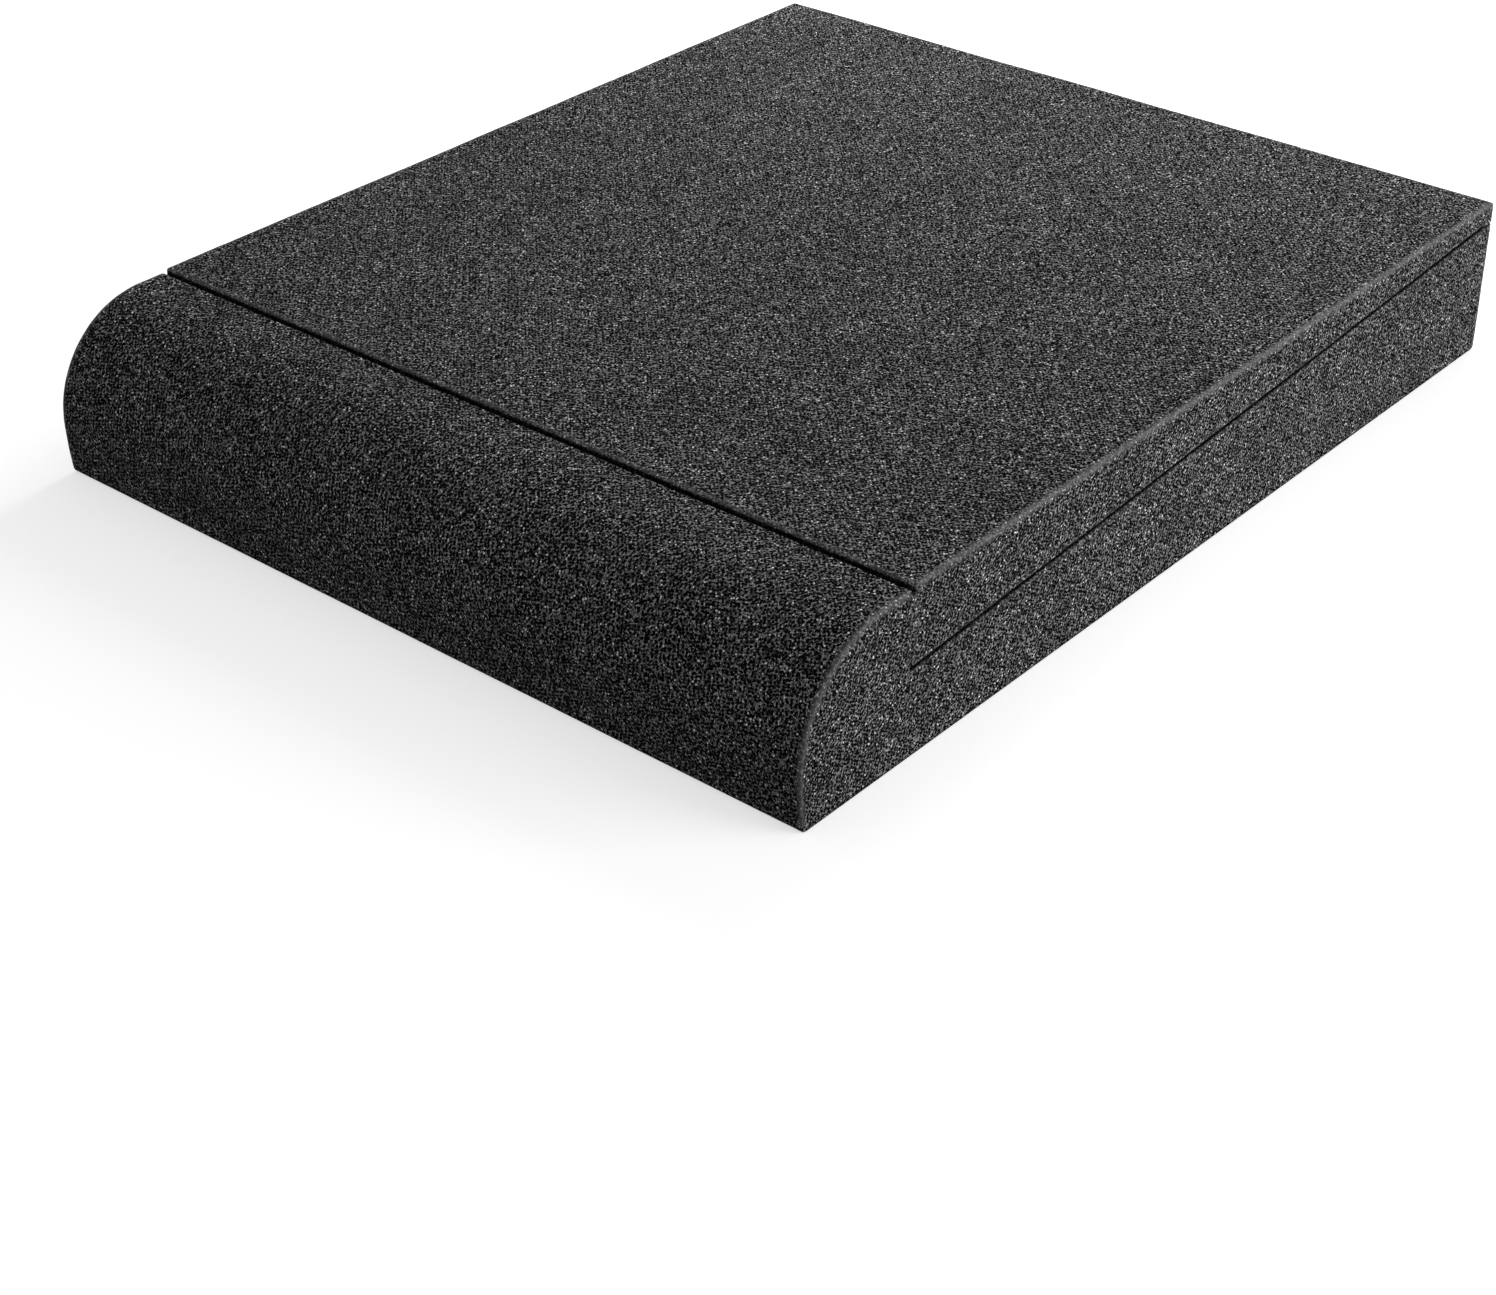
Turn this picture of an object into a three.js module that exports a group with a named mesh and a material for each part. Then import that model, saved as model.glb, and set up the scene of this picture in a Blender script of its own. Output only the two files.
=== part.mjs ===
// Speaker isolation pad, in millimetres.
//
// Two pieces knife-cut from foam slab. The base has a rounded lip along its front edge and, behind
// the lip, a seat that climbs towards the rear. A loose wedge of the same taper lies on the seat and
// brings the top back to level. Turned end for end on the seat, it tilts what stands on it instead.
//
// X runs across the pad, Y from the lip (-Y) to the rear (+Y), and Z is up. The origin is the middle
// of the footprint, on the surface that the pad stands on.

import * as THREE from 'three';

// Overall sizes.
const WIDTH = 250;
const DEPTH = 300;
const HEIGHT = 45; // underside of the base to the top of the wedge

// The lip along the front edge.
const LIP_DEPTH = 38; // front face to the seam
const LIP_STEP = 0.8; // how far the wedge's top stands above the lip
const NOSE_RADIUS = 29.5;
const FRONT_TUCK = 0.8; // how far the front face draws back from the nose down to its foot

// The wedge.
const WEDGE_FRONT = 21.6; // thickness at the seam
const WEDGE_REAR = 6; // thickness at the rear edge

// Clearances between the two pieces.
const SEAT_GAP = 0.3; // between the seat and the wedge's underside
const SEAM_GAP = 0.3; // between the lip's back wall and the wedge's front face

// Foam never holds a knife-cut edge quite sharp.
const LONG_EDGE_RADIUS = 1.2; // the long edges, across the pad
const END_EDGE_RADIUS = 0.7; // round the outline of both ends

// Steps along each curve.
const NOSE_STEPS = 24;
const TUCK_STEPS = 6;
const EDGE_STEPS = 4;

const FRONT_Y = -DEPTH / 2;
const REAR_Y = DEPTH / 2;
const SEAM_Y = FRONT_Y + LIP_DEPTH;
const LIP_TOP = HEIGHT - LIP_STEP;

// A point of a profile: y runs to the rear, z runs up, and radius rounds the corner there.
function corner(y, z, radius = 0) {
  return { at: new THREE.Vector2(y, z), radius };
}

// The arc that replaces a corner, tangent to both of its sides.
function roundedCorner(before, tip, after, radius) {
  const back = before.clone().sub(tip).normalize();
  const ahead = after.clone().sub(tip).normalize();
  const half = back.angleTo(ahead) / 2;
  const centre = back.clone().add(ahead).normalize().multiplyScalar(radius / Math.sin(half)).add(tip);
  const first = back.multiplyScalar(radius / Math.tan(half)).add(tip).sub(centre);
  const turn = Math.sign(tip.clone().sub(before).cross(after.clone().sub(tip)));
  return Array.from({ length: EDGE_STEPS + 1 }, (_, i) => {
    const angle = (turn * (Math.PI - 2 * half) * i) / EDGE_STEPS;
    return first.clone().rotateAround(new THREE.Vector2(), angle).add(centre);
  });
}

// The closed outline of a profile, its corners rounded where they have a radius.
function outline(corners) {
  return corners.flatMap(({ at, radius }, i) => {
    if (radius === 0) return [at];
    const before = corners[(i + corners.length - 1) % corners.length].at;
    const after = corners[(i + 1) % corners.length].at;
    return roundedCorner(before, at, after, radius);
  });
}

// The nose, a quarter circle from the lip's level top down to the front face, and below it the
// shallow arc by which that face draws back to its foot.
function noseAndFront() {
  const radius = Math.min(NOSE_RADIUS, LIP_DEPTH - LONG_EDGE_RADIUS, LIP_TOP - LONG_EDGE_RADIUS);
  const noseZ = LIP_TOP - radius;
  const points = [];
  for (let i = 0; i <= NOSE_STEPS; i++) {
    const angle = (Math.PI / 2) * (1 + i / NOSE_STEPS);
    points.push(corner(FRONT_Y + radius + radius * Math.cos(angle), noseZ + radius * Math.sin(angle)));
  }
  const tuckRadius = (noseZ ** 2 + FRONT_TUCK ** 2) / (2 * FRONT_TUCK);
  for (let i = 1; i < TUCK_STEPS; i++) {
    const drop = (noseZ * i) / TUCK_STEPS;
    points.push(corner(FRONT_Y + tuckRadius - Math.sqrt(tuckRadius ** 2 - drop ** 2), noseZ - drop));
  }
  return points;
}

function baseProfile() {
  const seatFront = HEIGHT - WEDGE_FRONT - SEAT_GAP;
  const seatRear = HEIGHT - WEDGE_REAR - SEAT_GAP;
  return outline([
    corner(FRONT_Y + FRONT_TUCK, 0, LONG_EDGE_RADIUS),
    corner(REAR_Y, 0, LONG_EDGE_RADIUS),
    corner(REAR_Y, seatRear, LONG_EDGE_RADIUS),
    corner(SEAM_Y, seatFront),
    corner(SEAM_Y, LIP_TOP, LONG_EDGE_RADIUS),
    ...noseAndFront(),
  ]);
}

function wedgeProfile() {
  return outline([
    corner(SEAM_Y + SEAM_GAP, HEIGHT - WEDGE_FRONT, LONG_EDGE_RADIUS),
    corner(REAR_Y, HEIGHT - WEDGE_REAR, LONG_EDGE_RADIUS),
    corner(REAR_Y, HEIGHT, LONG_EDGE_RADIUS),
    corner(SEAM_Y + SEAM_GAP, HEIGHT, LONG_EDGE_RADIUS),
  ]);
}

const FOAM = { color: 0x3a3b3c, roughness: 0.95, metalness: 0 };

// A piece of foam with the profile run across the pad's whole width, both ends eased.
function foamPiece(name, profile) {
  const geometry = new THREE.ExtrudeGeometry(new THREE.Shape(profile), {
    depth: WIDTH - 2 * END_EDGE_RADIUS,
    bevelThickness: END_EDGE_RADIUS,
    bevelSize: END_EDGE_RADIUS,
    bevelOffset: -END_EDGE_RADIUS,
    bevelSegments: 3,
  });
  const piece = new THREE.Mesh(geometry, new THREE.MeshStandardMaterial(FOAM));
  piece.name = name;
  piece.position.z = END_EDGE_RADIUS - WIDTH / 2;
  return piece;
}

// The profiles are drawn in the X-Y plane and run along Z: this turns them to Y-Z, running along X.
const pad = new THREE.Group();
pad.rotation.set(Math.PI / 2, Math.PI / 2, 0);
pad.add(foamPiece('base_pad', baseProfile()));
pad.add(foamPiece('wedge_insert', wedgeProfile()));

export default pad;
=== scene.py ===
# %% [markdown]
# # A foam speaker isolation pad
# The pad is two pieces of charcoal foam: a base with a rounded front lip and a sloping seat, and a
# loose wedge that lies on the seat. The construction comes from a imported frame, which says where
# each piece lies and how big it is. This script models what the eye sees: the knife-cut edges, the
# open cells, the light that falls on them. All lengths are in metres.

# %% Load the frame
from math import ceil, cos, pi, radians, sin, sqrt

import bmesh
import bpy
from mathutils import Matrix, Vector
from mathutils.kdtree import KDTree


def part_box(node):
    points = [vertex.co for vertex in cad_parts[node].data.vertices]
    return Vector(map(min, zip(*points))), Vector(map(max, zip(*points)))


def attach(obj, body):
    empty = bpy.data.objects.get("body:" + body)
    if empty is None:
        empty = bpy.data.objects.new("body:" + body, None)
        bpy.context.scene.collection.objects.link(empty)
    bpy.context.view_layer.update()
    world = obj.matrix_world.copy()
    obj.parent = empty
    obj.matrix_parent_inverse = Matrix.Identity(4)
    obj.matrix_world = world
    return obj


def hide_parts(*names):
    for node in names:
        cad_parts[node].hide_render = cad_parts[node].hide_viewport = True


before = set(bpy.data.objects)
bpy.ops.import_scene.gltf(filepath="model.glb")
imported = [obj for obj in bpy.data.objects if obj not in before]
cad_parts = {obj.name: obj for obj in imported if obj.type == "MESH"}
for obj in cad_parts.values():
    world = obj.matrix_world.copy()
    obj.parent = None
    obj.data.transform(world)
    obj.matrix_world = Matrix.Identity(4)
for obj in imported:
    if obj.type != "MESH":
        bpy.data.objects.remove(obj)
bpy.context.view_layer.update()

MM = 0.001

# %% [markdown]
# ## Sizes
# The boxes of the two CAD nodes give the width, the depth, both tops and the seam. What a box can't
# show is named here: the nose radius, the wedge's taper and the small radii of the cut edges. Foam
# never keeps a knife edge quite sharp, because its last row of cells is soft. The CAD keeps a fit gap
# between the pieces, and the seen gap is added to it, so that the seams show as thin dark lines.

# %% Sizes
base_low, base_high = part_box("base_pad")
wedge_low, wedge_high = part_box("wedge_insert")
HALF_WIDTH = base_high.x
FRONT, REAR = base_low.y, base_high.y
LIP_TOP = base_high.z
WEDGE_TOP = wedge_high.z
WEDGE_NOSE = wedge_low.y

NOSE_RADIUS = 29.5 * MM
FRONT_TUCK = 0.8 * MM
WEDGE_FRONT = 21.6 * MM
WEDGE_REAR = 6.0 * MM
FIT_GAP = 0.3 * MM
LONG_EDGE_RADIUS = 1.2 * MM
GROOVE_EDGE_RADIUS = 0.7 * MM
END_EDGE_RADIUS = 0.6 * MM
SEEN_GAP = 0.6 * MM

SEAM = WEDGE_NOSE - FIT_GAP
SEAT_FRONT = WEDGE_TOP - WEDGE_FRONT - FIT_GAP
SEAT_REAR = WEDGE_TOP - WEDGE_REAR - FIT_GAP
SEEN_NOSE = WEDGE_NOSE + SEEN_GAP
WEDGE_GAP = FIT_GAP + SEEN_GAP

FINE_STEP = 1.0 * MM
COARSE_STEP = 4.0 * MM
SAME_PLACE = 0.01 * MM
NEARLY = 0.1 * MM
print("seam at", round(SEAM / MM, 2), "mm, seat climbs", round((SEAT_REAR - SEAT_FRONT) / MM, 2), "mm")

# %% [markdown]
# ## Working in edit mode
# Blender's modelling operators act on what is selected. Two small helpers select by place, so that
# each step below can say in words what it takes hold of.

# %% Selection helpers
def edit_mesh():
    return bmesh.from_edit_mesh(bpy.context.edit_object.data)


def pick(kind, rule):
    """Selects the vertices, edges or faces for which rule is true, and returns how many there are."""
    bpy.ops.mesh.select_mode(type={"verts": "VERT", "edges": "EDGE", "faces": "FACE"}[kind])
    bpy.ops.mesh.select_all(action="DESELECT")
    mesh = edit_mesh()
    chosen = [item for item in getattr(mesh, kind) if rule(item)]
    for item in chosen:
        item.select_set(True)
    mesh.select_flush_mode()
    bmesh.update_edit_mesh(bpy.context.edit_object.data)
    return len(chosen)


def at_corner(vertex, y, z):
    return abs(vertex.co.y - y) < SAME_PLACE and abs(vertex.co.z - z) < SAME_PLACE


# %% [markdown]
# ## The profile
# A slab cutter makes such a pad by driving a contour blade along a profile, so the model starts the
# same way: a flat outline of the section, which is then run across the width. A plane is the
# simplest start. It stands at the left end, facing outwards.

# %% Start a profile
MOST_PARTS = 100
ON_LINE = 0.001 * MM


def start_profile(name, low_y, high_y, high_z, low_z=0.0):
    """A rectangle in the Y-Z plane near the left end, open in edit mode."""
    bpy.ops.object.select_all(action="DESELECT")
    place = (END_EDGE_RADIUS - HALF_WIDTH, (low_y + high_y) / 2, (low_z + high_z) / 2)
    bpy.ops.mesh.primitive_plane_add(size=1, location=place, rotation=(0, -pi / 2, 0))
    piece = bpy.context.object
    piece.name = piece.data.name = name
    piece.scale = (high_z - low_z, high_y - low_y, 1)
    bpy.ops.object.transform_apply(location=True, rotation=True, scale=True)
    bpy.ops.object.mode_set(mode="EDIT")
    return piece


def round_corner(y, z, radius, segments):
    """Bevels the outline's corner at y, z into an arc."""
    pick("verts", lambda v: at_corner(v, y, z))
    bpy.ops.mesh.bevel(offset=radius, segments=segments, profile=0.5, affect="VERTICES")


def cut_evenly(rule, parts):
    """Cuts the edges for which rule is true into equal parts. One call can make only so many cuts."""
    rounds = ceil(parts / MOST_PARTS)
    if rounds > 1:
        pick("edges", rule)
        bpy.ops.mesh.subdivide(number_cuts=rounds - 1)
    pick("edges", rule)
    bpy.ops.mesh.subdivide(number_cuts=round(parts / rounds) - 1)


def divide_outline(step_for):
    """Cuts each straight stretch of the outline into steps of the length that step_for gives."""
    ends = [(e.verts[0].co.copy(), e.verts[1].co.copy()) for e in edit_mesh().edges]
    for start, end in ends:
        length = (end - start).length
        parts = round(length / step_for(start, end))
        if parts < 2:
            continue

        def between(vertex):
            way = (vertex.co - start).length + (end - vertex.co).length
            return way - length < ON_LINE

        cut_evenly(lambda e: between(e.verts[0]) and between(e.verts[1]), parts)


# %% [markdown]
# ## The base's outline
# The rectangle is cut at the seam and along the seat, the corner above the seat is deleted, and the
# two faces that are left are dissolved into one. Then the corners are rounded: the front one with
# the nose's large radius, the two at the floor with the small radius of a cut foam edge, and the two
# beside the seam with a tighter one, so that the seam stays thin. Last, the face below the nose is
# drawn back a little towards its foot, as the photographed lip is.

# %% Outline of the base
EDGE_SEGMENTS = 3
NOSE_SEGMENTS = 46


def outline_base():
    piece = start_profile("base_foam", FRONT, REAR, LIP_TOP)
    climb = Vector((0, REAR - SEAM, SEAT_REAR - SEAT_FRONT)).normalized()
    seat_normal = Vector((0, -climb.z, climb.y))
    pick("faces", lambda f: True)
    bpy.ops.mesh.bisect(plane_co=(0, SEAM, 0), plane_no=(0, 1, 0))
    pick("faces", lambda f: f.calc_center_median().y > SEAM)
    bpy.ops.mesh.bisect(plane_co=(0, SEAM, SEAT_FRONT), plane_no=seat_normal)
    pick("faces", lambda f: f.calc_center_median().y > SEAM and f.calc_center_median().z > SEAT_FRONT)
    bpy.ops.mesh.delete(type="FACE")
    pick("faces", lambda f: True)
    bpy.ops.mesh.dissolve_faces()
    pick("verts", lambda v: at_corner(v, SEAM, 0))
    bpy.ops.mesh.dissolve_verts()
    round_corner(FRONT, LIP_TOP, NOSE_RADIUS, NOSE_SEGMENTS)
    for y, z in ((FRONT, 0), (REAR, 0)):
        round_corner(y, z, LONG_EDGE_RADIUS, EDGE_SEGMENTS)
    for y, z in ((REAR, SEAT_REAR), (SEAM, LIP_TOP)):
        round_corner(y, z, GROOVE_EDGE_RADIUS, EDGE_SEGMENTS)
    divide_outline(lambda a, b: COARSE_STEP if a.z + b.z < NEARLY else FINE_STEP)
    return piece


def tuck_front():
    """Draws the front face back from the nose's level down to its foot, along a shallow arc."""
    nose_level = LIP_TOP - NOSE_RADIUS
    radius = (nose_level**2 + FRONT_TUCK**2) / (2 * FRONT_TUCK)
    mesh = edit_mesh()
    for vertex in mesh.verts:
        drop = nose_level - vertex.co.z
        if vertex.co.y < FRONT + LONG_EDGE_RADIUS + NEARLY and drop > 0:
            vertex.co.y += radius - sqrt(radius**2 - drop**2)
    bmesh.update_edit_mesh(bpy.context.edit_object.data)


base = outline_base()
tuck_front()
print("base outline:", len(edit_mesh().verts), "points,", len(edit_mesh().faces), "face")

# %% [markdown]
# ## From an outline to a solid
# The end is finished first. Three insets, each a little further out than the last, turn its edge
# through a quarter circle. Two sets of parallel bisects then cut the flat end into a fine grid, which
# gives the relief something to move. The outline is extruded to the pad's middle and cut into fine
# strips, and a Mirror modifier makes the other half. What lies hidden between the two pieces is
# dissolved to a single flat face, because nothing there is ever seen.

# %% Run the outline across the pad
END_SEGMENTS = 3
ROUND_FROM, ROUND_TO = 0.05 * END_EDGE_RADIUS, 0.7 * END_EDGE_RADIUS
MIRROR_MERGE = 0.05 * MM
HIDDEN_MARGIN = 3.5 * MM


def ease_end():
    """Rounds the end's outline and returns the places of the points halfway round the edge."""
    pick("faces", lambda f: True)
    for k in range(END_SEGMENTS):
        start, end = pi / 2 * k / END_SEGMENTS, pi / 2 * (k + 1) / END_SEGMENTS
        inward = END_EDGE_RADIUS * (cos(start) - cos(end))
        outward = END_EDGE_RADIUS * (sin(end) - sin(start))
        bpy.ops.mesh.inset(thickness=inward, depth=outward, use_even_offset=True)
    return [v.co.copy() for v in edit_mesh().verts if ROUND_FROM < v.co.x + HALF_WIDTH < ROUND_TO]


def grid_end():
    """Cuts the flat end, which the last inset left selected, into squares of the fine step."""
    bpy.ops.mesh.hide(unselected=True)
    points = [v.co.copy() for v in edit_mesh().verts if v.select]
    for axis in (1, 2):
        low, high = min(p[axis] for p in points), max(p[axis] for p in points)
        normal = Vector((0, axis == 1, axis == 2))
        for k in range(1, int((high - low) / FINE_STEP) + 1):
            place = normal * (low + (k - 0.5) * FINE_STEP)
            bpy.ops.mesh.select_all(action="SELECT")
            bpy.ops.mesh.bisect(plane_co=place, plane_no=normal)
    bpy.ops.mesh.reveal()


def run_across():
    """Extrudes the outline to the middle of the pad, in strips of the fine step."""
    pick("edges", lambda e: e.is_boundary)
    length = HALF_WIDTH - END_EDGE_RADIUS
    bpy.ops.mesh.extrude_edges_move(TRANSFORM_OT_translate={"value": (length, 0, 0)})
    cut_evenly(lambda e: abs(e.verts[0].co.x - e.verts[1].co.x) > 2 * FINE_STEP, round(length / FINE_STEP))


def mirror_and_close(piece):
    bpy.ops.object.mode_set(mode="OBJECT")
    mirror = piece.modifiers.new("other half", "MIRROR")
    mirror.use_axis = (True, False, False)
    mirror.merge_threshold = MIRROR_MERGE
    bpy.ops.object.modifier_apply(modifier=mirror.name)
    bpy.ops.object.mode_set(mode="EDIT")
    bpy.ops.mesh.select_all(action="SELECT")
    bpy.ops.mesh.remove_doubles(threshold=SAME_PLACE)
    bpy.ops.mesh.normals_make_consistent(inside=False)


def dissolve_hidden(is_hidden):
    """Joins the faces that the other piece covers, apart from a margin, into one flat face."""

    def inside(face):
        place = face.calc_center_median()
        return (
            is_hidden(place)
            and abs(place.x) < HALF_WIDTH - HIDDEN_MARGIN
            and SEAM + HIDDEN_MARGIN < place.y < REAR - HIDDEN_MARGIN
        )

    count = pick("faces", inside)
    bpy.ops.mesh.dissolve_faces()
    return count


def seat_height(y):
    return SEAT_FRONT + (SEAT_REAR - SEAT_FRONT) * (y - SEAM) / (REAR - SEAM)


def solid_from_outline(piece, is_hidden):
    rounded = ease_end()
    grid_end()
    run_across()
    mirror_and_close(piece)
    hidden = dissolve_hidden(is_hidden)
    bpy.ops.object.mode_set(mode="OBJECT")
    print(piece.name, "has", len(piece.data.vertices), "points;", hidden, "hidden faces became one")
    return rounded


base_rim = solid_from_outline(base, lambda p: abs(p.z - seat_height(p.y)) < NEARLY)

# %% [markdown]
# ## The wedge
# The wedge is the same work on a simpler outline: a rectangle whose lower rear corner is lifted, so
# that it is thick at the seam and thin at the rear. Its front face and its underside stand the seen
# gap further from the base than the CAD's do.

# %% The wedge
def outline_wedge():
    bottom = WEDGE_TOP - WEDGE_FRONT + SEEN_GAP
    piece = start_profile("wedge_foam", SEEN_NOSE, REAR, WEDGE_TOP, bottom)
    pick("verts", lambda v: at_corner(v, REAR, bottom))
    bpy.ops.transform.translate(value=(0, 0, WEDGE_FRONT - WEDGE_REAR))
    rear_bottom = bottom + WEDGE_FRONT - WEDGE_REAR
    round_corner(REAR, WEDGE_TOP, LONG_EDGE_RADIUS, EDGE_SEGMENTS)
    for y, z in ((REAR, rear_bottom), (SEEN_NOSE, bottom), (SEEN_NOSE, WEDGE_TOP)):
        round_corner(y, z, GROOVE_EDGE_RADIUS, EDGE_SEGMENTS)
    divide_outline(lambda a, b: FINE_STEP)
    return piece


wedge = outline_wedge()
wedge_rim = solid_from_outline(wedge, lambda p: abs(p.z - seat_height(p.y) - WEDGE_GAP) < NEARLY)

# %% [markdown]
# ## Where the two pieces meet
# Along the top the pieces leave an open groove, and on the sides the sloping seam is a thin dark
# line. But the short upright joint between them, on the side, is pressed shut and hardly shows.
# The points beside it are moved: the wedge's front face swells forward to touch the lip, and the
# rounded edges there are drawn out nearly square, so that no notch is left to catch a shadow. At
# the two rear corners the sloping seam closes as well: the wedge's thin end sags onto the seat.

# %% Press the joints shut
TOUCH_GAP = 0.04 * MM
EDGE_REACH = END_EDGE_RADIUS + 0.05 * MM
SQUARENESS = 0.85
JOINT_FADE = 0.8 * MM
SWELL = SEEN_NOSE - SEAM - TOUCH_GAP
SWELL_WIDTH = 6.0 * MM
SWELL_DEPTH = 4.0 * MM
SAG = WEDGE_GAP - TOUCH_GAP
SAG_REACH = 6.0 * MM


def share(value):
    """value, kept between 0 and 1 and eased at both ends."""
    kept = max(0.0, min(1.0, value))
    return kept * kept * (3 - 2 * kept)


def joint_share(z):
    """1 along the upright joint, falling to 0 at the open top of the seam and at the seat."""
    return share(min(LIP_TOP - z - JOINT_FADE, z - SEAT_FRONT - JOINT_FADE) / JOINT_FADE)


def side_of(value):
    return 1.0 if value > 0 else -1.0


def square_up(place, corner_y):
    """Draws a point of the rounded upright edge at corner_y out towards the square corner."""
    if abs(place.x) > HALF_WIDTH - EDGE_REACH and abs(place.y - corner_y) < EDGE_REACH:
        left = 1 - SQUARENESS * joint_share(place.z)
        place.x = side_of(place.x) * (HALF_WIDTH - (HALF_WIDTH - abs(place.x)) * left)
        place.y = corner_y + (place.y - corner_y) * left


def swell(place):
    """Moves the wedge's front face, near both ends, forward onto the lip's back wall."""
    near_end = share((abs(place.x) - HALF_WIDTH + SWELL_WIDTH) / (SWELL_WIDTH / 2))
    near_nose = share(1 - (place.y - SEEN_NOSE) / SWELL_DEPTH)
    place.y -= SWELL * near_end * near_nose * joint_share(place.z)


def sag(place):
    """Lowers the underside of the wedge's rear corners onto the seat."""
    near_end = share((abs(place.x) - HALF_WIDTH + SAG_REACH) / (SAG_REACH / 2))
    near_rear = share((place.y - REAR + SAG_REACH) / (SAG_REACH / 2))
    low = share((WEDGE_TOP - place.z) / (WEDGE_REAR - SEEN_GAP))
    place.z -= SAG * near_end * near_rear * low


for vertex in base.data.vertices:
    square_up(vertex.co, SEAM)

for vertex in wedge.data.vertices:
    square_up(vertex.co, SEEN_NOSE)
    swell(vertex.co)
    sag(vertex.co)
print("the wedge swells", round(SWELL / MM, 2), "mm and sags", round(SAG / MM, 2), "mm to close the joints")

# %% [markdown]
# ## Painted highlights on the edges, painted shade in the seams
# On the real foam each cut edge shows as a paler line, a couple of millimetres wide: light enters
# the last cells from two sides. Here that line is a painted highlight in the base colour. Inside
# the seams the cells are pressed together and get no light, and that shade is painted into the base
# colour too. A material can't know how far it is from an edge, so the mesh tells it, in two float
# attributes: the painted highlight is highest on a rounded edge and falls to 0 beside it, and the
# painted shade rises to 1 inside a seam. The foot of the base has no painted highlight: it gets some
# of the painted shade instead, darker where it meets the floor, and as that shade goes by height
# alone, the whole flat underside is darkened with it. A vertex group, relief, says where the cut
# surface may be rough: not on the flat underside, which rests on the floor, and only a little inside
# the seams, so that the pieces stay clear of each other.

# %% Mark painted highlights, painted shade and relief
# Reach and strength of the painted highlight on the edges, and of the painted shade in the seams and at the
# foot.
HIGHLIGHT_REACH = 1.1 * MM
LINE_CORE = 0.4 * LONG_EDGE_RADIUS
FRONT_HIGHLIGHT = 0.55
FAINT_HIGHLIGHT = 0.3
BESIDE_SEAM = 2 * END_EDGE_RADIUS
FOOT_SHADE = 0.7
FOOT_HEIGHT = 1.5 * MM
SEAM_SHADE_DEPTH = 0.45 * MM
STEP_SHADE = 0.5 * MM
QUIET_RELIEF = 0.3
RELIEF_START = 0.2 * MM
RELIEF_RISE = 1.0 * MM
MOSTLY = 0.5


def highlighted_long_edges(piece):
    """The y and z of the piece's long edges with a painted highlight, each with the strength of its line."""
    if piece is base:
        return []
    return [(REAR, WEDGE_TOP, 1.0), (SEEN_NOSE, WEDGE_TOP, FRONT_HIGHLIGHT)]


def seam_distance(place):
    """How far a point is from the gap between the pieces, and whether the upright part is nearer."""
    over_seat = place.z - seat_height(place.y)
    past_wall = place.y - SEAM
    from_seat = max(-over_seat, over_seat - WEDGE_GAP, -past_wall, 0.0)
    from_wall = max(-past_wall, past_wall - WEDGE_GAP, SEAT_FRONT - place.z, 0.0)
    return min(from_seat, from_wall), from_wall < from_seat


def seam_shade_at(place):
    """The painted shade in a seam: 1 at a point well inside it, falling to 0 where the seam opens to the
    light.
    """
    away, upright = seam_distance(place)
    if away > EDGE_REACH:
        return 0.0
    depth = HALF_WIDTH - abs(place.x)
    if upright:
        depth = min(depth, LIP_TOP + STEP_SHADE - place.z)
    else:
        depth = min(depth, REAR - place.y)
    return share(depth / SEAM_SHADE_DEPTH)


def mark(piece, rounded):
    """Writes the painted edge highlight and the painted seam and foot shade as attributes, and the vertex
    group relief of a piece.
    """
    tree = KDTree(len(rounded))
    for k, place in enumerate(rounded):
        tree.insert(Vector((abs(place.x), place.y, place.z)), k)
    tree.balance()
    lines = highlighted_long_edges(piece)
    painted_highlights, painted_shades = [], []
    relief = piece.vertex_groups.new(name="relief")
    for vertex in piece.data.vertices:
        place = vertex.co
        from_end = tree.find(Vector((abs(place.x), place.y, place.z)))[2]
        beside_seam = seam_distance(place)[0] < BESIDE_SEAM
        # Painted highlight: highest on a rounded edge, fainter beside the seams, none at the foot.
        painted_highlight = share(1 - from_end / HIGHLIGHT_REACH) * (FAINT_HIGHLIGHT if beside_seam else 1.0)
        for y, z, strength in lines:
            from_line = max(0.0, sqrt((place.y - y) ** 2 + (place.z - z) ** 2) - LINE_CORE)
            painted_highlight = max(painted_highlight, strength * share(1 - from_line / HIGHLIGHT_REACH))
        painted_highlights.append(painted_highlight * share(place.z / LONG_EDGE_RADIUS - 1))
        # Painted shade: in the seams, and at the foot, darker towards the floor.
        painted_shades.append(max(seam_shade_at(place), FOOT_SHADE * share(1 - place.z / FOOT_HEIGHT)))
        quiet = QUIET_RELIEF if painted_shades[-1] > MOSTLY else 1.0
        rough = share((place.z - RELIEF_START) / RELIEF_RISE) * quiet
        relief.add([vertex.index], rough, "REPLACE")
    for name, values in (("painted_highlight", painted_highlights), ("painted_shade", painted_shades)):
        piece.data.attributes.new(name, "FLOAT", "POINT").data.foreach_set("value", values)
    counts = [sum(v > MOSTLY for v in values) for values in (painted_highlights, painted_shades)]
    print(piece.name, "rim points:", counts[0], "groove points:", counts[1])


mark(base, base_rim)
mark(wedge, wedge_rim)

# %% [markdown]
# ## Relief
# A cut through foam leaves half-open cells about a millimetre across, so the surface is never
# smooth. Two Displace modifiers give it real relief, and both are applied: one at the size of a few
# cells, and one with the slow, faint waves that a long blade leaves.

# %% Cut surface
CELL_SIZE, CELL_RELIEF = 2.6 * MM, 0.12 * MM
WAVE_SIZE, WAVE_RELIEF = 45 * MM, 0.4 * MM


def displace(piece, name, size, strength):
    texture = bpy.data.textures.new(name, "CLOUDS")
    texture.noise_scale = size
    modifier = piece.modifiers.new(name, "DISPLACE")
    modifier.texture = texture
    modifier.texture_coords = "LOCAL"
    modifier.vertex_group = "relief"
    modifier.mid_level = 0.5
    modifier.strength = strength
    bpy.ops.object.modifier_apply(modifier=modifier.name)


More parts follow.
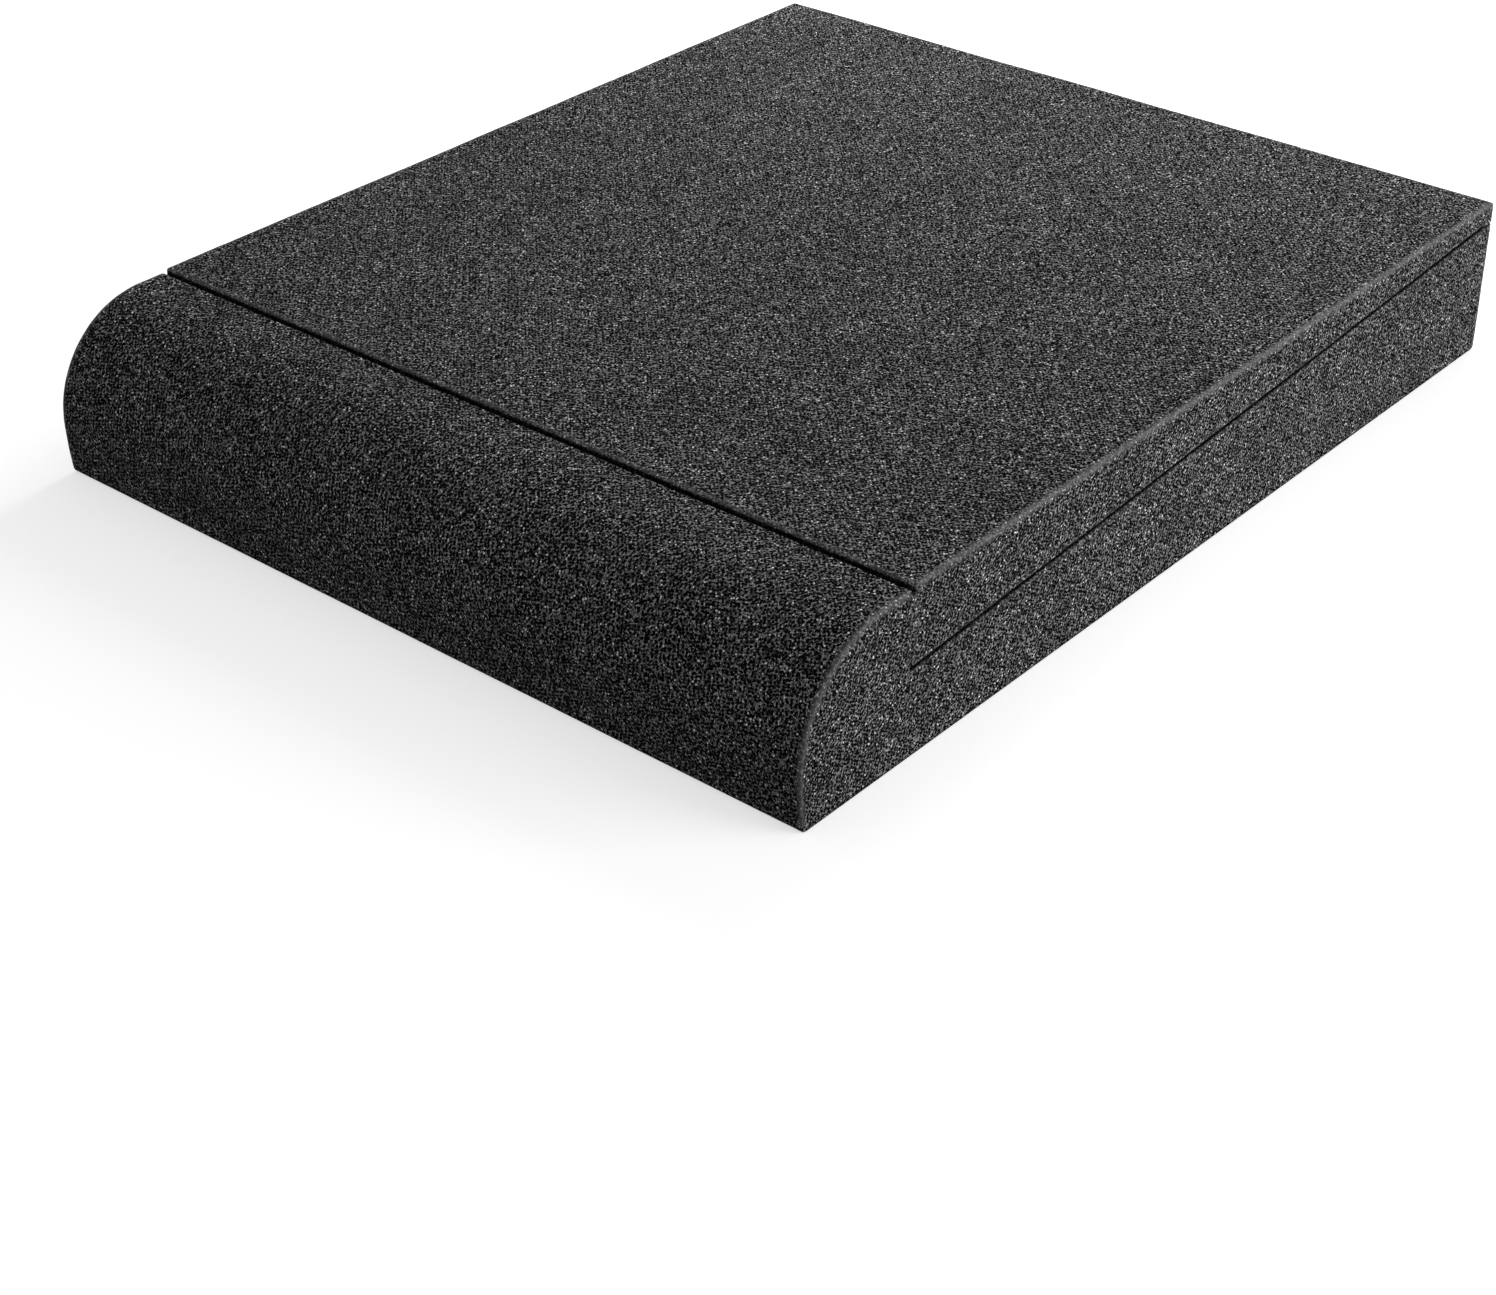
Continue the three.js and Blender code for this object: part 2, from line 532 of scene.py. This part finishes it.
def cut_surface(piece):
    bpy.ops.object.select_all(action="DESELECT")
    piece.select_set(True)
    bpy.context.view_layer.objects.active = piece
    displace(piece, "blade waves", WAVE_SIZE, WAVE_RELIEF)
    displace(piece, "open cells", CELL_SIZE, CELL_RELIEF)
    bpy.ops.object.shade_smooth()
    piece.data.calc_loop_triangles()


for piece in (base, wedge):
    cut_surface(piece)
    size = [round(v / MM, 2) for v in piece.dimensions]
    print(piece.name, "measures", size, "mm in", len(piece.data.loop_triangles), "triangles")

# %% [markdown]
# ## Node helpers
# The materials below are short chains of nodes. Each helper makes one node, gives it a label that
# says what it stands for, and returns the output that the next node reads.

# %% Node helpers
def add_node(tree, kind, label, **settings):
    made = tree.nodes.new(kind)
    made.label = label
    for name, value in settings.items():
        setattr(made, name, value)
    return made


def ramp(tree, source, low, high, to_low, to_high, label):
    """Maps source from low..high smoothly to to_low..to_high."""
    made = add_node(tree, "ShaderNodeMapRange", label, interpolation_type="SMOOTHSTEP")
    for name, value in (("From Min", low), ("From Max", high), ("To Min", to_low), ("To Max", to_high)):
        made.inputs[name].default_value = value
    tree.links.new(source, made.inputs["Value"])
    return made.outputs["Result"]


def sum_or_product(tree, operation, first, second, label):
    """One Math node. A MULTIPLY_ADD gives first * second + 1."""
    made = add_node(tree, "ShaderNodeMath", label, operation=operation)
    for slot, value in zip(made.inputs, (first, second, 1.0)):
        if isinstance(value, (int, float)):
            slot.default_value = value
        else:
            tree.links.new(value, slot)
    return made.outputs["Value"]


# %% [markdown]
# ## The foam
# Open-cell polyurethane seen from a step away is a fine grain: black where a cell opens towards the
# eye, grey on the struts around it, and here and there a bright point where a strut catches the
# light. Those bright points are painted highlights in the base colour. A Voronoi texture lays out
# the cells: the distance from a cell's centre says where its open middle ends and its wall begins.
# A finer second Voronoi breaks the walls into small faces, each turned its own way and so of its
# own tone. A third places the few bright spots, the painted glints. Two noises vary the painted
# highlight on the edges and, very slowly, the whole tone. All of it reads Object coordinates turned
# to millimetres, so that the grain has the same size on both pieces. The struts are rough and black,
# and the light that foam throws back is scattered light, so the shader has no mirror part: with
# one, the open cells would turn grey. The pale cut edges and the dark seams are a painted highlight
# and painted shade, read from the mesh's attributes.

# %% The foam's material
# Each pair of limits says where a smooth step begins and ends.
CELLS_PER_MM = 1.2
CELL_DISORDER = 0.6
WALL_LIMITS = (0.42, 0.54)
FACES_PER_MM = 3.0
FACE_LIMITS = (0.25, 0.65)
FACE_SHADE = 0.3
FACE_POWER, FACE_GAIN = 2.0, 3.0
# The few bright spots are painted glints: highlights in the base colour.
SPOTS_PER_MM = 1.7
SHINE_LIMITS = (0.95, 0.97)
SPOT_LIMITS = (0.3, 0.5)
TORN_PER_MM = 1.3
PATCHES_PER_MM, PATCH_DETAIL = 0.035, 3.0
NOISE_LIMITS = (0.3, 0.7)
PATCH_DARK, PATCH_LIGHT = 0.93, 1.07
GRAIN_TURN = (radians(31), radians(17), radians(47))
PORE_GREY = 0.004
STRUT_GREY = 0.276
PAINTED_GLINT_GREY = 1.0
# The grey that the painted highlight on the cut edges lifts the colour to, and how much of it shows.
HIGHLIGHT_GREY = 0.24
HIGHLIGHT_COVER = 0.65
HIGHLIGHT_TORN = 0.6 * HIGHLIGHT_COVER
# How much the painted shade in the seams and at the foot darkens the colour.
PAINTED_SHADE_LOSS = 0.9
BUMP_STRENGTH, BUMP_DISTANCE = 0.5, 0.15 * MM
ROUGHNESS = 0.9


def foam_material():
    material = bpy.data.materials.new("charcoal foam")
    material.use_nodes = True
    tree = material.node_tree
    link = tree.links.new
    shader = tree.nodes["Principled BSDF"]

    place = add_node(tree, "ShaderNodeTexCoord", "where on the pad")
    in_mm = add_node(tree, "ShaderNodeMapping", "metres to millimetres, turned")
    in_mm.inputs["Scale"].default_value = (1 / MM, 1 / MM, 1 / MM)
    in_mm.inputs["Rotation"].default_value = GRAIN_TURN
    link(place.outputs["Object"], in_mm.inputs["Vector"])

    def cells_of(scale, label):
        """A 3-D Voronoi pattern. Its Distance is that from each cell's centre."""
        cells = add_node(tree, "ShaderNodeTexVoronoi", label, voronoi_dimensions="3D", feature="F1")
        cells.inputs["Scale"].default_value = scale
        cells.inputs["Randomness"].default_value = CELL_DISORDER
        link(in_mm.outputs["Vector"], cells.inputs["Vector"])
        return cells.outputs

    def random_of(cells, label):
        """One random value for each cell, from the pattern's random colour."""
        parts = add_node(tree, "ShaderNodeSeparateColor", label)
        link(cells["Color"], parts.inputs["Color"])
        return parts.outputs["Green"]

    def noise_of(scale, detail, label):
        noise = add_node(tree, "ShaderNodeTexNoise", label)
        noise.inputs["Scale"].default_value = scale
        noise.inputs["Detail"].default_value = detail
        link(in_mm.outputs["Vector"], noise.inputs["Vector"])
        return noise.outputs["Fac"]

    def math(operation, first, second, label):
        return sum_or_product(tree, operation, first, second, label)

    cells = cells_of(CELLS_PER_MM, "cells")
    wall = ramp(tree, cells["Distance"], *WALL_LIMITS, 0.0, 1.0, "wall")

    faces = cells_of(FACES_PER_MM, "strut faces")
    tilt = math("POWER", random_of(faces, "which face"), FACE_POWER, "how a face is turned")
    tilt = math("MULTIPLY", tilt, FACE_GAIN, "face tone")
    round_face = ramp(tree, faces["Distance"], *FACE_LIMITS, 1.0, FACE_SHADE, "face shape")
    strut = math("MULTIPLY", wall, math("MULTIPLY", tilt, round_face, "faces"), "grain")

    # Painted glints: a few spots whose base colour is near white, standing for struts that catch the light.
    spots = cells_of(SPOTS_PER_MM, "bright spots")
    shine = ramp(tree, random_of(spots, "which spot"), *SHINE_LIMITS, 0.0, 1.0, "few spots shine")
    round_spot = ramp(tree, spots["Distance"], *SPOT_LIMITS, 1.0, 0.0, "spot shape")
    painted_glint = math("MULTIPLY", shine, round_spot, "painted_glint")

    patches = noise_of(PATCHES_PER_MM, PATCH_DETAIL, "slow patches")
    slow = ramp(tree, patches, *NOISE_LIMITS, PATCH_DARK, PATCH_LIGHT, "tone patches")
    torn = noise_of(TORN_PER_MM, 0.0, "torn walls")
    uneven = ramp(tree, torn, *NOISE_LIMITS, HIGHLIGHT_TORN, HIGHLIGHT_COVER, "uneven edge")
    # The painted highlight on the cut edges, from the mesh's attribute, broken up by the torn noise.
    painted_highlight = add_node(tree, "ShaderNodeAttribute", "cut edge", attribute_name="painted_highlight").outputs["Fac"]
    painted_highlight = math("MULTIPLY", painted_highlight, uneven, "edge light")
    # The painted shade in the seams and at the foot, from the mesh's attribute, darkens the colour.
    painted_shade = add_node(tree, "ShaderNodeAttribute", "seam", attribute_name="painted_shade").outputs["Fac"]
    open_sky = math("MULTIPLY_ADD", painted_shade, -PAINTED_SHADE_LOSS, "light in the seam")

    grey = math("MULTIPLY", strut, STRUT_GREY - PORE_GREY, "strut grey")
    grey = math("ADD", grey, math("MULTIPLY", painted_glint, PAINTED_GLINT_GREY, "glint grey"), "with glints")
    grey = math("ADD", grey, PORE_GREY, "with pores")
    # The painted highlight lifts the grey towards the edge's grey.
    to_highlight = math("MULTIPLY", math("SUBTRACT", HIGHLIGHT_GREY, grey, "how much paler"), painted_highlight, "painted edge highlight")
    grey = math("ADD", grey, to_highlight, "with painted edge highlight")
    for gain, label in ((slow, "patches"), (open_sky, "seams")):
        grey = math("MULTIPLY", grey, gain, label)
    link(grey, shader.inputs["Base Color"])

    bump = add_node(tree, "ShaderNodeBump", "cell relief")
    bump.inputs["Strength"].default_value = BUMP_STRENGTH
    bump.inputs["Distance"].default_value = BUMP_DISTANCE
    link(strut, bump.inputs["Height"])
    link(bump.outputs["Normal"], shader.inputs["Normal"])
    shader.inputs["Roughness"].default_value = ROUGHNESS
    shader.inputs["Specular IOR Level"].default_value = 0.0
    return material


foam = foam_material()
for piece, node in ((base, "base_pad"), (wedge, "wedge_insert")):
    piece.data.materials.append(foam)
    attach(piece, "root")
    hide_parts(node)
    print(piece.name, "replaces", node)

# %% [markdown]
# ## Floor, light and camera
# The pad stands on a plain pale floor. Two soft boxes light it: one above the rear, which makes the
# top brighter towards the back, and one at the right for the side. The lip faces away from both and
# stays dark, as in the photograph. To the camera the floor and the world are white, and the floor
# still takes the pad's shadow. To the pad the floor is a dull one, so that it doesn't fill the
# lip's shade with bounced light.

# %% Floor and world
FLOOR_SIZE = 30.0
FLOOR_GREY = 0.3
WHITE_GREY = 0.9
WHITE_GLOW = 0.58
WORLD_LIGHT = 0.33


def seen_rays(tree):
    """1 for the rays that show the world to the eye, 0 for those that only carry light."""
    rays = add_node(tree, "ShaderNodeLightPath", "who looks").outputs
    seen = sum_or_product(tree, "MAXIMUM", rays["Is Camera Ray"], rays["Is Glossy Ray"], "seen")
    return sum_or_product(tree, "MAXIMUM", seen, rays["Is Transmission Ray"], "seen at all")


def floor_material():
    material = bpy.data.materials.new("pale floor")
    material.use_nodes = True
    tree = material.node_tree
    tree.nodes.clear()
    link = tree.links.new
    output = add_node(tree, "ShaderNodeOutputMaterial", "floor")
    seen = seen_rays(tree)
    dull = add_node(tree, "ShaderNodeBsdfDiffuse", "dull floor")
    dull.inputs["Color"].default_value = (FLOOR_GREY, FLOOR_GREY, FLOOR_GREY, 1)
    white = add_node(tree, "ShaderNodeBsdfDiffuse", "white floor")
    white.inputs["Color"].default_value = (WHITE_GREY, WHITE_GREY, WHITE_GREY, 1)
    glow = add_node(tree, "ShaderNodeEmission", "even white")
    glow.inputs["Strength"].default_value = WHITE_GLOW
    lit = add_node(tree, "ShaderNodeAddShader", "white with shadow")
    link(white.outputs[0], lit.inputs[0])
    link(glow.outputs[0], lit.inputs[1])
    choice = add_node(tree, "ShaderNodeMixShader", "by ray")
    link(seen, choice.inputs[0])
    link(dull.outputs[0], choice.inputs[1])
    link(lit.outputs[0], choice.inputs[2])
    link(choice.outputs[0], output.inputs["Surface"])
    return material


bpy.ops.object.select_all(action="DESELECT")
bpy.ops.mesh.primitive_plane_add(size=FLOOR_SIZE, location=(0, 0, 0))
floor = bpy.context.object
floor.name = "floor"
floor.data.materials.append(floor_material())

world = bpy.data.worlds.new("studio")
bpy.context.scene.world = world
world.use_nodes = True
sky = world.node_tree.nodes["Background"]
sky.inputs["Color"].default_value = (1, 1, 1, 1)
strength = ramp(world.node_tree, seen_rays(world.node_tree), 0.0, 1.0, WORLD_LIGHT, 1.0, "light or backdrop")
world.node_tree.links.new(strength, sky.inputs["Strength"])

# %% [markdown]
# ## Soft boxes
# Both are square area lights that the camera doesn't see. Each stands about half a metre from the pad
# and is more than half as wide as that, so its shadows are soft.

# %% Soft boxes
BOX_SIZE = 0.30
BOX_TARGET = Vector((0, 0, 0.02))
REAR_BOX_PLACE, REAR_BOX_POWER = Vector((-0.10, 0.40, 0.30)), 1.66
RIGHT_BOX_PLACE, RIGHT_BOX_POWER = Vector((0.50, 0.08, 0.12)), 1.42


def soft_box(name, place, power):
    """A square area light that faces the pad's middle."""
    bpy.ops.object.light_add(type="AREA", location=place)
    lamp = bpy.context.object
    lamp.name = name
    lamp.data.shape = "SQUARE"
    lamp.data.size = BOX_SIZE
    lamp.data.energy = power
    lamp.rotation_mode = "QUATERNION"
    lamp.rotation_quaternion = (BOX_TARGET - place).to_track_quat("-Z", "Y")
    lamp.visible_camera = False
    print(name, "stands", round((BOX_TARGET - place).length, 2), "m away and is", BOX_SIZE, "m wide")


soft_box("rear_box", REAR_BOX_PLACE, REAR_BOX_POWER)
soft_box("right_box", RIGHT_BOX_PLACE, RIGHT_BOX_POWER)

# %% [markdown]
# ## Camera
# Its place, its three angles and its lens come from a perspective fit to the pad's corners and edge
# lines, with the picture's centre as the axis.

# %% Camera
CAMERA_PLACE = Vector((427.3, -517.5, 357.4)) * MM
CAMERA_AZIMUTH, CAMERA_ELEVATION, CAMERA_ROLL = radians(40.754), radians(32.984), radians(-0.559)
CAMERA_LENS, SENSOR_WIDTH = 66.46, 36
CLIP_NEAR, CLIP_FAR = 0.01, 100

bpy.ops.object.camera_add(location=CAMERA_PLACE)
camera = bpy.context.object
camera.name = "camera"
camera.data.lens = CAMERA_LENS
camera.data.sensor_width = SENSOR_WIDTH
camera.data.clip_start, camera.data.clip_end = CLIP_NEAR, CLIP_FAR
aim = (
    Matrix.Rotation(CAMERA_AZIMUTH, 4, "Z")
    @ Matrix.Rotation(pi / 2 - CAMERA_ELEVATION, 4, "X")
    @ Matrix.Rotation(CAMERA_ROLL, 4, "Z")
)
camera.rotation_euler = aim.to_euler()
bpy.context.scene.camera = camera
bpy.context.scene.view_settings.view_transform = "Standard"
